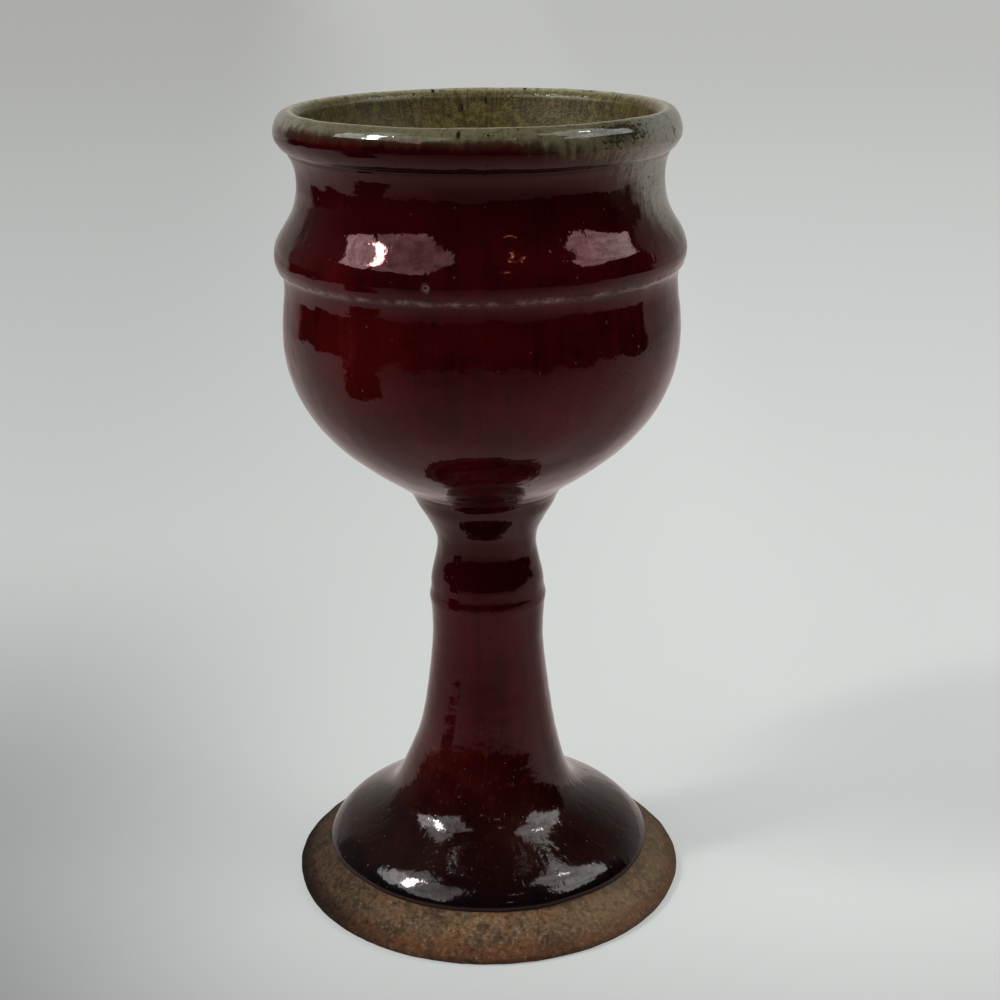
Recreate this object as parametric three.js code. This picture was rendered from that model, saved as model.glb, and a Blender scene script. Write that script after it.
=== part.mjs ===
// A thrown stoneware goblet: a hollow pedestal with a bare clay foot, a round bowl luted on top of it,
// a copper-red coat of glaze over the outside of both, and a grey-green glaze inside the bowl and over its lip.
// Millimetres, +Z up, the origin on the table under the middle of the foot.
import * as THREE from "three";

// Radii are over the glaze, and each rise is counted from the place before it.
// Foot
const footRadius = 41.5;
const footEdgeRise = 1.4;
const footEdgeUndercut = 0.5;
const bareBandWidth = 7.2;
const bareBandRise = 6.1;
const footRingWidth = 8.5;
// Pedestal
const glazeRollRise = 0.7;
const shoulderStep = 3.8;
const shoulderRise = 4.4;
const calfRadius = 15.1;
const calfRise = 18.6;
const stemWaistRadius = 11.6;
const stemWaistRise = 24.6;
const stemRingRadius = 12.0;
const stemRingRise = 7.7;
const neckRadius = 10.2;
const neckRise = 11.9;
const flareRadius = 13.0;
const flareRise = 7.2;
const stemTopRadius = 15.8;
const stemTopRise = 5.4;
// Bowl
const bellyRadius = 39.5;
const bellyRise = 32.3;
// How far the wall draws in from the belly to the crease, and how far the ridge stands out over the crease
const creaseStep = 0.8;
const creaseRise = 10.4;
const ridgeStep = 1.8;
const ridgeRise = 5.5;
const collarRadius = 35.6;
const collarRise = 14.5;
const rimRadius = 39.25;
const rimRise = 8.8;
const lipRise = 4.35;
const lipThickness = 5.2;
// How far in from the widest place of the rim the lip is highest
const crestInset = 3.1;
// How far below the lip the lining ends on the outside, and how much the roll has drawn in there
const liningReach = 2.15;
const liningStep = 0.5;
// Walls
const collarWall = 4.0;
const bellyWall = 4.4;
const floorThickness = 7.0;
const shoulderWall = 6.2;
const stemWall = 4.0;
const hollowTipRise = 5.0;
// Glaze and slip
const redCoat = 0.8;
const linerCoat = 0.6;
const slipThickness = 0.8;
const seatGap = 0.3;
// The bowl leans to one side, and the stem bends between its waist and its neck to carry it.
const leanDegrees = -1.0;
// The mouth leans less, and the wall bends back between the ridge and the collar.
const mouthDegrees = -0.4;

const turns = 36;

// Heights above the table
const glazeLineHeight = footEdgeRise + bareBandRise;
const rollHeight = glazeLineHeight + glazeRollRise;
const shoulderHeight = rollHeight + shoulderRise;
const calfHeight = shoulderHeight + calfRise;
const stemWaistHeight = calfHeight + stemWaistRise;
const stemRingHeight = stemWaistHeight + stemRingRise;
const neckHeight = stemRingHeight + neckRise;
const flareHeight = neckHeight + flareRise;
const jointHeight = flareHeight + stemTopRise;
const bellyHeight = jointHeight + bellyRise;
const creaseHeight = bellyHeight + creaseRise;
const ridgeHeight = creaseHeight + ridgeRise;
const collarHeight = ridgeHeight + collarRise;
const rimHeight = collarHeight + rimRise;
const lipHeight = rimHeight + lipRise;

// Radii and depths that follow from the sizes above
const glazeLineRadius = footRadius - bareBandWidth;
const shoulderRadius = glazeLineRadius - shoulderStep;
const creaseRadius = bellyRadius - creaseStep;
const ridgeRadius = creaseRadius + ridgeStep;
const redBuild = redCoat + seatGap;
const linerBuild = linerCoat + seatGap;
const slipHalf = slipThickness / 2;

// A place on an outline. Its heading is 0 where the surface runs up, positive outwards, and 180 where it runs down.
// Before and after say how far the curve keeps to that heading, as shares of the stretch on each side.
function place(radius, height, heading, before, after, steps = 0) {
  return { at: new THREE.Vector2(radius, height), heading, before, after, steps };
}

function headingVector(degrees) {
  const angle = THREE.MathUtils.degToRad(degrees);
  return new THREE.Vector2(Math.sin(angle), Math.cos(angle));
}

// A smooth outline through its places, as cubic stretches that meet in one heading.
function outline(places) {
  const points = [places[0].at];
  for (let i = 1; i < places.length; i += 1) {
    const from = places[i - 1];
    const to = places[i];
    const span = from.at.distanceTo(to.at);
    const leave = headingVector(from.heading).multiplyScalar(from.after * span).add(from.at);
    const arrive = headingVector(to.heading).multiplyScalar(-to.before * span).add(to.at);
    const curve = new THREE.CubicBezierCurve(from.at, leave, arrive, to.at);
    points.push(...curve.getPoints(to.steps).slice(1));
  }
  return points;
}

// The outline moved square to itself into the wall, which lies on the left of the way it runs.
function inset(points, depth) {
  return points.map((point, i) => {
    const before = points[Math.max(i - 1, 0)];
    const after = points[Math.min(i + 1, points.length - 1)];
    const along = after.clone().sub(before).normalize();
    if (point.x === 0) along.set(-1, 0);
    return new THREE.Vector2(point.x - along.y * depth, point.y + along.x * depth);
  });
}

// The pedestal over its glaze, from the rolled edge of the glaze up to the joint
const pedestalOutline = outline([
  place(glazeLineRadius, glazeLineHeight + seatGap, 0, 0, 0.33),
  place(glazeLineRadius, rollHeight, 0, 0.33, 0.2, 1),
  place(shoulderRadius, shoulderHeight, -60, 0.2, 0.52, 4),
  place(calfRadius, calfHeight, -17, 0.6, 0.2, 5),
  place(stemWaistRadius, stemWaistHeight, 0, 0.2, 0.7, 3),
  place(stemRingRadius, stemRingHeight, 0, 0.2, 0.39, 2),
  place(neckRadius, neckHeight, 0, 0.2, 0.36, 4),
  place(flareRadius, flareHeight, 30, 0.36, 0.33, 4),
  place(stemTopRadius, jointHeight, 25, 0.33, 0, 2),
]);

// The bowl over its red glaze, from the joint up to where the lining begins on the roll of the rim
const meetRadius = rimRadius - liningStep;
const meetHeight = lipHeight - liningReach;
const meetHeading = -25;
const bowlOutline = outline([
  place(stemTopRadius, jointHeight, 55, 0, 0.2),
  place(bellyRadius, bellyHeight, 0, 0.47, 0.43, 7),
  place(creaseRadius, creaseHeight, 0, 0.32, 0.47, 3),
  place(ridgeRadius, ridgeHeight, 0, 0.36, 0.35, 4),
  place(collarRadius, collarHeight, 0, 0.57, 0.66, 5),
  place(rimRadius, rimHeight, 0, 0.32, 0.3, 5),
  place(meetRadius, meetHeight, meetHeading, 0.35, 0, 1),
]);

// Pedestal and bowl in one line, and the clay under the red coat along it
const outsideOutline = [...pedestalOutline, ...bowlOutline.slice(1)];
const clayWall = inset(outsideOutline, redBuild);

// The lining from that line over the lip, down the inside and in to the middle of the bowl's floor
const floorHeight = jointHeight + slipHalf + seatGap + floorThickness;
const liningOutline = outline([
  place(meetRadius, meetHeight, meetHeading, 0, 0.4),
  place(rimRadius - crestInset, lipHeight, -90, 0.4, 0.28, 3),
  place(rimRadius - lipThickness, lipHeight - liningReach, 190, 0.28, 0.3, 3),
  place(collarRadius - collarWall, collarHeight, 180, 0.45, 0.45, 3),
  place(bellyRadius - bellyWall, bellyHeight + creaseRise / 2, 180, 0.45, 0.5, 4),
  place(0, floorHeight, -90, 0.6, 0, 6),
]);

// The hollow that the thrower's finger leaves inside the pedestal, from its closed tip down to the foot ring
const boreRadius = stemWaistRadius - redBuild - stemWall;
const hollowOutline = outline([
  place(0, stemWaistHeight + hollowTipRise, 90, 0, 0.4),
  place(boreRadius, stemWaistHeight - boreRadius, 180, 0.5, 0.3, 4),
  place(calfRadius - redBuild - stemWall, calfHeight, 165, 0.3, 0.4, 3),
  place(shoulderRadius - shoulderWall / 2, shoulderHeight - shoulderWall, 115, 0.5, 0.3, 5),
  place(footRadius - footRingWidth, 0, 150, 0.3, 0, 3),
]);

// The bare edge of the foot, from the table round its widest place and up the bevel to the glaze line
const footOutline = outline([
  place(footRadius - footEdgeUndercut, 0, 45, 0, 0.4),
  place(footRadius, footEdgeRise, 0, 0.4, 0.08, 2),
  place(glazeLineRadius, glazeLineHeight, -58, 0.2, 0, 3),
]);

// A smooth bend to one side between two heights, so that what is above them leans by an angle.
function bendOver(position, from, to, degrees) {
  const lean = THREE.MathUtils.degToRad(degrees);
  const bend = to - from;
  for (let i = 0; i < position.count; i += 1) {
    const above = position.getZ(i) - from;
    const share = THREE.MathUtils.clamp(above / bend, 0, 1);
    const shift = lean * share * (Math.max(above, 0) - (share * bend) / 2);
    const x = position.getX(i);
    position.setX(i, x * Math.cos(lean * share) + shift);
    position.setZ(i, position.getZ(i) - x * Math.sin(lean * share));
  }
}

// The mouth bends back first, in the goblet's own upright, and then the stem bends over with all that it carries.
function leanOver(geometry) {
  const position = geometry.getAttribute("position");
  bendOver(position, ridgeHeight, collarHeight, mouthDegrees - leanDegrees);
  bendOver(position, stemWaistHeight, neckHeight, leanDegrees);
  geometry.computeVertexNormals();
  return geometry;
}

// A solid of revolution about the upright axis. Its profile has the wall on its left.
function thrown(name, profile, material) {
  const lathe = new THREE.LatheGeometry(profile, turns);
  lathe.rotateX(Math.PI / 2);
  const mesh = new THREE.Mesh(leanOver(lathe), material);
  mesh.name = name;
  return mesh;
}

// Where an outline that runs up passes a height
function crossing(points, height) {
  const i = points.findIndex((point) => point.y > height);
  const share = (height - points[i - 1].y) / (points[i].y - points[i - 1].y);
  return points[i - 1].clone().lerp(points[i], share);
}

function onAxis(height) {
  return new THREE.Vector2(0, height);
}

function stemClay() {
  const top = crossing(clayWall, jointHeight - slipHalf - seatGap);
  const profile = [
    ...hollowOutline,
    ...footOutline,
    new THREE.Vector2(clayWall[0].x, glazeLineHeight),
    ...clayWall.filter((point) => point.y < top.y),
    top,
    onAxis(top.y),
  ];
  return thrown("stem_clay", profile, stonewareClay);
}

function jointSlip() {
  const under = crossing(clayWall, jointHeight - slipHalf);
  const over = crossing(clayWall, jointHeight + slipHalf);
  return thrown("joint_slip", [onAxis(under.y), under, over, onAxis(over.y)], lutingSlip);
}

function bowlClay() {
  const base = crossing(clayWall, jointHeight + slipHalf + seatGap);
  const profile = [
    onAxis(base.y),
    base,
    ...clayWall.filter((point) => point.y > base.y),
    ...inset(liningOutline, linerBuild),
  ];
  return thrown("bowl_clay", profile, stonewareClay);
}

function redGlaze() {
  const profile = [...outsideOutline, ...inset(outsideOutline, redCoat).reverse(), outsideOutline[0]];
  return thrown("red_glaze", profile, copperRed);
}

// The lining keeps a seat gap to the red coat along the roll of the rim.
function linerGlaze() {
  const along = headingVector(meetHeading).multiplyScalar(seatGap);
  const surface = [liningOutline[0].clone().add(along), ...liningOutline.slice(1)];
  const profile = [...inset(surface, linerCoat).reverse(), ...surface];
  return thrown("liner_glaze", profile, greyGreen);
}

const stonewareClay = new THREE.MeshStandardMaterial({ color: 0x8a6146, roughness: 0.85, metalness: 0 });
const lutingSlip = new THREE.MeshStandardMaterial({ color: 0x9a7a5e, roughness: 0.9, metalness: 0 });
const copperRed = new THREE.MeshStandardMaterial({ color: 0x4c060e, roughness: 0.12, metalness: 0 });
const greyGreen = new THREE.MeshStandardMaterial({ color: 0x86826c, roughness: 0.25, metalness: 0 });

const goblet = new THREE.Group();
goblet.add(stemClay());
goblet.add(jointSlip());
goblet.add(bowlClay());
goblet.add(redGlaze());
goblet.add(linerGlaze());

export default goblet;
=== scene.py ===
# The looks of a thrown stoneware goblet: fine shells for its clay and its two glazes, their finishes, a pale
# table and soft window light. Metres, +Z up: the goblet's foot stands on the table around the origin.
import math
from types import SimpleNamespace
import bpy
import numpy as np
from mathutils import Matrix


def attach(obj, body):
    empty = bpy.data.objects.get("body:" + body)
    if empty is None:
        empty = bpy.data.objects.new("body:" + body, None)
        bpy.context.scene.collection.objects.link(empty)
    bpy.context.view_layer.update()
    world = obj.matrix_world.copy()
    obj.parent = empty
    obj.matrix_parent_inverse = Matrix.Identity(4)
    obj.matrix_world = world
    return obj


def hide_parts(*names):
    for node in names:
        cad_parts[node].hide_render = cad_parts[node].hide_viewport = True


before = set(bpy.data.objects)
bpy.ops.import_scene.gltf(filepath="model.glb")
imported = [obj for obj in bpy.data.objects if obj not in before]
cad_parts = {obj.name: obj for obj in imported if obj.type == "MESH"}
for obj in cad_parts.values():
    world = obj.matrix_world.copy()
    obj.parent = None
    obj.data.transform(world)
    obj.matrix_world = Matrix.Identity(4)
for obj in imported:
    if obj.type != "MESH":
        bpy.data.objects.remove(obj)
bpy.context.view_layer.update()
print("frame loaded:", ", ".join(sorted(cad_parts)))

mm = 0.001
sharpAngle = 55  # Degrees between faces from which an edge looks sharp
drumRadius = 40  # Millimetres, of the drum that the patterns on the wall are wrapped round
drumSpan = (-0.2, 0.3)  # Metres along the drum that its clouds reach over
noiseBox = {"low": (-50, -50, -3), "size": (100, 100, 175)}  # Millimetres that the clouds in space fill

# Every outline is a list of places: radius and height in millimetres, the heading there in degrees (0 up,
# positive outwards, 180 down), and how far the curve keeps to it before and after, as shares of each stretch.
goblet = {
    "footEdge": [(41.0, 0.0, 45, 0, 0.4), (41.5, 1.4, 0, 0.4, 0.08), (34.3, 7.5, -58, 0.2, 0)],
    "hollow": [
        (0.0, 60.8, 90, 0, 0.4),
        (6.5, 49.3, 180, 0.5, 0.3),
        (10.0, 31.2, 165, 0.3, 0.4),
        (27.4, 6.4, 115, 0.5, 0.3),
        (33.0, 0.0, 150, 0.3, 0),
    ],
    "pedestal": [
        (34.12, 7.55, 62, 0, 0.35),
        (34.38, 8.2, 0, 0.4, 0.2),
        (30.5, 12.6, -60, 0.2, 0.52),
        (15.1, 31.2, -17, 0.6, 0.2),
        (11.6, 55.8, 0, 0.2, 0.7),
        (12.0, 63.5, 0, 0.2, 0.39),
        (10.2, 75.4, 0, 0.2, 0.36),
        (13.0, 82.6, 30, 0.36, 0.33),
        (15.8, 88.0, 25, 0.33, 0),
    ],
    "bowl": [
        (15.8, 88.0, 55, 0, 0.2),
        (39.5, 120.3, 0, 0.47, 0.43),
        (38.7, 130.7, 0, 0.32, 0.47),
        (40.5, 136.2, 0, 0.36, 0.35),
        (35.6, 150.7, 0, 0.57, 0.66),
        (39.25, 159.5, 0, 0.32, 0.3),
        (38.75, 161.7, -25, 0.35, 0),
    ],
    "lip": [(38.75, 161.7, -25, 0, 0.4), (36.15, 163.85, -90, 0.4, 0)],
    "inside": [
        (36.15, 163.85, -90, 0, 0.28),
        (34.05, 161.7, 190, 0.28, 0.3),
        (31.6, 150.7, 180, 0.45, 0.45),
        (35.1, 125.5, 180, 0.45, 0.5),
        (0.0, 95.7, -90, 0.6, 0),
    ],
    "joint": 88.0,
    "slipHalf": 0.4,
    "ridge": 136.2,
    "bends": [(136.2, 150.7, 0.6), (55.8, 75.4, -1.0)],
    "sway": [(22, 8, -0.8), (148, 8, 0.3), (160.5, 4.5, -0.2)],
    "dip": (136.2, 150.7, 0.2),
}


# A unit step in the section plane for a heading: its sine outwards and its cosine upwards.
def headingVector(degrees):
    angle = math.radians(degrees)
    return np.array([math.sin(angle), math.cos(angle)])


# Each stretch is a cubic: its two places and two handles, weighted by (1-t)^3, 3t(1-t)^2, 3t^2(1-t) and t^3.
def curveThrough(places, step=0.08):
    stretches = []
    for (r0, z0, h0, before0, after0), (r1, z1, h1, before1, after1) in zip(places, places[1:]):
        start = np.array([r0, z0])
        end = np.array([r1, z1])
        span = np.hypot(*(end - start))
        leave = start + headingVector(h0) * after0 * span
        arrive = end - headingVector(h1) * before1 * span
        t = np.linspace(0, 1, max(6, int(span / step)))[:, None]
        bend = 3 * t * (1 - t) ** 2 * leave + 3 * t**2 * (1 - t) * arrive
        stretches.append((1 - t) ** 3 * start + bend + t**3 * end)
    line = [stretches[0]] + [stretch[1:] for stretch in stretches[1:]]
    return np.concatenate(line) * mm


# The distance along a line from its first point.
def lengthAlong(line):
    return np.concatenate([[0], np.cumsum(np.hypot(*np.diff(line, axis=0).T))])


# Rows along a line, closer together near the given heights: a stretch's share of the rows is its length times
# one plus strength * exp(-(distance in height / width)^2) for each crowded place.
def spread(line, rows, crowded=()):
    along = lengthAlong(line)
    crowd = np.ones(len(line))
    for height, width, strength in crowded:
        crowd += strength * np.exp(-(((line[:, 1] - height * mm) / (width * mm)) ** 2))
    share = np.concatenate([[0], np.cumsum((crowd[1:] + crowd[:-1]) / 2 * np.diff(along))])
    at = np.interp(np.linspace(0, share[-1], rows), share, along)
    return np.stack([np.interp(at, along, line[:, 0]), np.interp(at, along, line[:, 1])], 1)


# The unit normal on the right of the way a line runs: its tangent turned a quarter turn clockwise.
def rightOf(line):
    along = np.gradient(line, axis=0)
    along /= np.maximum(np.hypot(along[:, 0], along[:, 1]), 1e-12)[:, None]
    return np.stack([along[:, 1], -along[:, 0]], 1)


# The ease of value noise: 6t^5 - 15t^4 + 10t^3.
def soften(t):
    return t**3 * (t * (6 * t - 15) + 10)


# Value noise on a drum: random heights from -1 to 1 on a lattice of lobes round it and one row per cell along
# it, blended by soften both ways. Turn runs from 0 to 1, and along in metres over the drum's length.
def cloud(turn, along, lobes, cell, seed):
    low, high = drumSpan
    rows = int((high - low) / (cell * mm)) + 2
    lattice = np.random.default_rng(seed).uniform(-1, 1, (rows, lobes))
    u = turn * lobes
    v = np.clip((along - low) / (cell * mm), 0, rows - 1.001)
    i = np.floor(v).astype(int)
    j = np.floor(u).astype(int)
    s = soften(v - i)
    t = soften(u - j)
    near = lattice[i, j % lobes] * (1 - t) + lattice[i, (j + 1) % lobes] * t
    far = lattice[i + 1, j % lobes] * (1 - t) + lattice[i + 1, (j + 1) % lobes] * t
    return near * (1 - s) + far * s


# The same cloud times its height, with its lobes, cell and height in one value.
def risen(turn, along, shape, seed):
    lobes, cell, rise = shape
    return rise * cloud(turn, along, lobes, cell, seed)


# Value noise in space: the same ease between random heights on a cubic lattice over the goblet's box.
def cloudInSpace(points, cell, seed):
    size = tuple(int(side / cell) + 2 for side in noiseBox["size"])
    lattice = np.random.default_rng(seed).uniform(-1, 1, size)
    at = (points - np.array(noiseBox["low"]) * mm) / (cell * mm)
    first = np.floor(at).astype(int)
    share = soften(at - first)
    total = np.zeros(points.shape[:-1])
    for corner in np.ndindex(2, 2, 2):
        i, j, k = np.moveaxis(first + np.array(corner), -1, 0)
        weight = np.prod(np.where(np.array(corner) == 1, share, 1 - share), -1)
        total += weight * lattice[i, j, k]
    return total


# A smooth step from 0 at low to 1 at high: 3t^2 - 2t^3.
def ease(value, low, high):
    t = np.clip((value - low) / (high - low), 0, 1)
    return t * t * (3 - 2 * t)


# A bell around a place: exp(-((value - place) / width)^2).
def bell(value, place, width):
    return np.exp(-(((value - place) / width) ** 2))


# The mouth bends back over the ridge, and the stem bends between its waist and its neck: each point turns by
# the lean times its share of the bend, and moves over by the lean of what lies below it. On top of that the
# axis sways by a few bells, and the mouth dips a little towards the back.
def leanOver(points):
    x, y, z = np.moveaxis(points, -1, 0)
    for start, end, degrees in goblet["bends"]:
        lean = math.radians(degrees)
        bend = (end - start) * mm
        above = z - start * mm
        share = np.clip(above / bend, 0, 1)
        shift = lean * share * (np.maximum(above, 0) - share * bend / 2)
        x, z = x * np.cos(lean * share) + shift, z - x * np.sin(lean * share)
    start, end, degrees = goblet["dip"]
    for place, width, reach in goblet["sway"]:
        x = x + reach * mm * bell(z / mm, place, width)
    z = z - y * math.sin(math.radians(degrees)) * ease(z / mm, start, end)
    return np.stack([x, y, z], -1)


# The turns round one ring, from 0 to 1.
def turnsOf(around):
    return np.arange(around)[None, :] / around


# Points of rings: (radius cos turn, radius sin turn, height).
def ringPoints(radius, height, turn):
    angle = 2 * math.pi * turn
    return np.stack([radius * np.cos(angle), radius * np.sin(angle), height + 0 * radius * turn], -1)


# A closed skin from rings of points. A loop of rings joins its last ring to its first one, and otherwise the
# first and last rings shrink to a pole on the axis.
def revolve(name, radius, height, loop, fields, finish):
    rows, around = radius.shape
    if not loop:
        radius[[0, -1]] = 0
    points = leanOver(ringPoints(radius, height, turnsOf(around)))
    index = np.arange(rows * around).reshape(rows, around)
    if not loop:
        index[-1] = index[-1, 0]
        index[0] = index[0, 0]
    below = index if loop else index[:-1]
    above = np.roll(index, -1, 0) if loop else index[1:]
    quads = np.stack([below, np.roll(below, -1, 1), np.roll(above, -1, 1), above], -1).reshape(-1, 4)
    a, b, c, d = (points.reshape(-1, 3)[quads[:, k]] for k in range(4))
    volume = np.einsum("ij,ij->i", a, np.cross(b, c) + np.cross(c, d)).sum() / 6
    if volume < 0:
        quads = quads[:, ::-1]
    kept, where = np.unique(index, return_inverse=True)
    place = np.zeros(rows * around, int)
    place[index.reshape(-1)] = where.reshape(-1)
    tip = (quads[:, 0] == quads[:, 1]) | (quads[:, 2] == quads[:, 3])
    pole = quads[tip]
    cut = np.where((pole[:, 0] == pole[:, 1])[:, None], pole[:, [1, 2, 3]], pole[:, [0, 1, 2]])
    faces = place[quads[~tip]].tolist() + place[cut].tolist()
    mesh = bpy.data.meshes.new(name)
    mesh.from_pydata(points.reshape(-1, 3)[kept].tolist(), [], faces)
    mesh.polygons.foreach_set("use_smooth", np.ones(len(mesh.polygons), bool))
    mesh.set_sharp_from_angle(angle=math.radians(sharpAngle))
    for field, value in fields.items():
        values = (np.zeros((rows, around)) + value).reshape(-1)[kept].astype(np.float32)
        mesh.attributes.new(field, "FLOAT", "POINT").data.foreach_set("value", values)
    mesh.update()
    piece = bpy.data.objects.new(name, mesh)
    bpy.context.scene.collection.objects.link(piece)
    mesh.materials.append(finish)
    print(name, "has", sum(len(face) - 2 for face in faces), "triangles")
    return piece


# Rings for a row list and what stands out of it: each point moves by its relief along the section's normal.
def rings(line, normal, relief):
    return line[:, :1] + normal[:, :1] * relief, line[:, 1:] + normal[:, 1:] * relief


# The fields of two stacks of rings as one stack, each value spread over its own rings first.
def stackFields(fields, ringsOfIt, others, ringsOfOthers):
    return {
        name: np.concatenate([0 * ringsOfIt + value, 0 * ringsOfOthers + others[name]])
        for name, value in fields.items()
    }


# One node of a material, with its settings and its inputs: a socket is linked, anything else is set.
def node(tree, kind, inputs=None, **settings):
    made = tree.nodes.new("ShaderNode" + kind)
    for name, value in settings.items():
        setattr(made, name, value)
    for name, value in (inputs or {}).items():
        if isinstance(value, bpy.types.NodeSocket):
            tree.links.new(value, made.inputs[name])
        else:
            made.inputs[name].default_value = value
    return made


def maths(tree, operation, a, b=0.0):
    return node(tree, "Math", {0: a, 1: b}, operation=operation).outputs[0]


def plus(tree, *terms):
    total = terms[0]
    for term in terms[1:]:
        total = maths(tree, "ADD", total, term)
    return total


def times(tree, a, b):
    return maths(tree, "MULTIPLY", a, b)


# A smooth step of a value from 0 at low to its reach at high.
def stepUp(tree, value, low, high, reach=1.0):
    inputs = {"Value": value, "From Min": low, "From Max": high, "To Min": 0.0, "To Max": reach}
    return node(tree, "MapRange", inputs, interpolation_type="SMOOTHSTEP").outputs["Result"]


# Colour a where the share is 0, b where it is 1.
def blendColour(tree, share, a, b):
    made = node(tree, "Mix", data_type="RGBA")
    for slot, value in ((0, share), (6, a), (7, b)):
        if isinstance(value, bpy.types.NodeSocket):
            tree.links.new(value, made.inputs[slot])
        else:
            made.inputs[slot].default_value = value if slot == 0 else (*value, 1.0)
    return made.outputs[2]


# Fractal noise in a space, about 0.5 on average; size is the width of its largest patches in millimetres.
def noise(tree, space, size, detail=2.0, roughness=0.5):
    inputs = {"Vector": space, "Scale": 1 / (size * mm), "Detail": detail, "Roughness": roughness}
    return node(tree, "TexNoise", inputs).outputs["Fac"]


# Round spots: one in each cell of a size, and only a share of them kept. A spot is 1 up to four tenths of its
# radius and 0 past it.
def spots(tree, space, cell, radius, kept):
    cells = node(tree, "TexVoronoi", {"Vector": space, "Scale": 1 / (cell * mm)})
    near = stepUp(tree, cells.outputs["Distance"], radius / cell, 0.4 * radius / cell)
    draw = node(tree, "SeparateColor", {0: cells.outputs["Color"]}).outputs[0]
    return times(tree, near, maths(tree, "LESS_THAN", draw, kept))


def field(tree, name):
    return node(tree, "Attribute", attribute_name=name).outputs["Fac"]


# Space that follows the wall: drumRadius times the cosine and sine of the turn, and the distance from the
# crest of the lip, shortened so that a pattern in it is drawn out down the wall.
def drumSpace(tree, drawn):
    parts = {0: field(tree, "drumX"), 1: field(tree, "drumY"), 2: field(tree, "flow")}
    whole = node(tree, "CombineXYZ", parts).outputs[0]
    return node(tree, "VectorMath", {0: whole, 1: (1, 1, 1 / drawn)}, operation="MULTIPLY").outputs[0]


# A piece's patterns as sockets under their names: each is noise in plain space or, where it is drawn out, in
# the drum's. Space and height come with them.
def patternsOf(tree, shapes):
    space = node(tree, "TexCoord").outputs["Object"]
    made = SimpleNamespace(space=space, height=node(tree, "SeparateXYZ", {0: space}).outputs[2])
    for name, (drawn, *shape) in shapes.items():
        setattr(made, name, noise(tree, drumSpace(tree, drawn) if drawn else space, *shape))
    return made


# A mix of a piece's patterns and fields, by their names: the sum of each one times its weight.
def mixOf(tree, paint, weights):
    parts = {name: getattr(paint, name) if hasattr(paint, name) else field(tree, name) for name in weights}
    return plus(tree, *(times(tree, parts[name], weight) for name, weight in weights.items()))


# A share that a pattern makes uneven: it is times the sum of the least and the pattern times its weight, and
# ends at the most.
def unevenly(tree, share, pattern, least, weight, most):
    uneven = times(tree, share, plus(tree, least, times(tree, pattern, weight)))
    return maths(tree, "MINIMUM", uneven, most)


def newMaterial(name):
    material = bpy.data.materials.new(name)
    material.use_nodes = True
    tree = material.node_tree
    tree.nodes.clear()
    shader = node(tree, "BsdfPrincipled")
    node(tree, "OutputMaterial", {"Surface": shader.outputs[0]})
    return material, tree, shader


# The relief of a surface, in millimetres, as a bump.
def raiseSurface(tree, shader, relief):
    bump = node(tree, "Bump", {"Strength": 1.0, "Distance": mm, "Height": relief})
    tree.links.new(bump.outputs[0], shader.inputs["Normal"])


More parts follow.
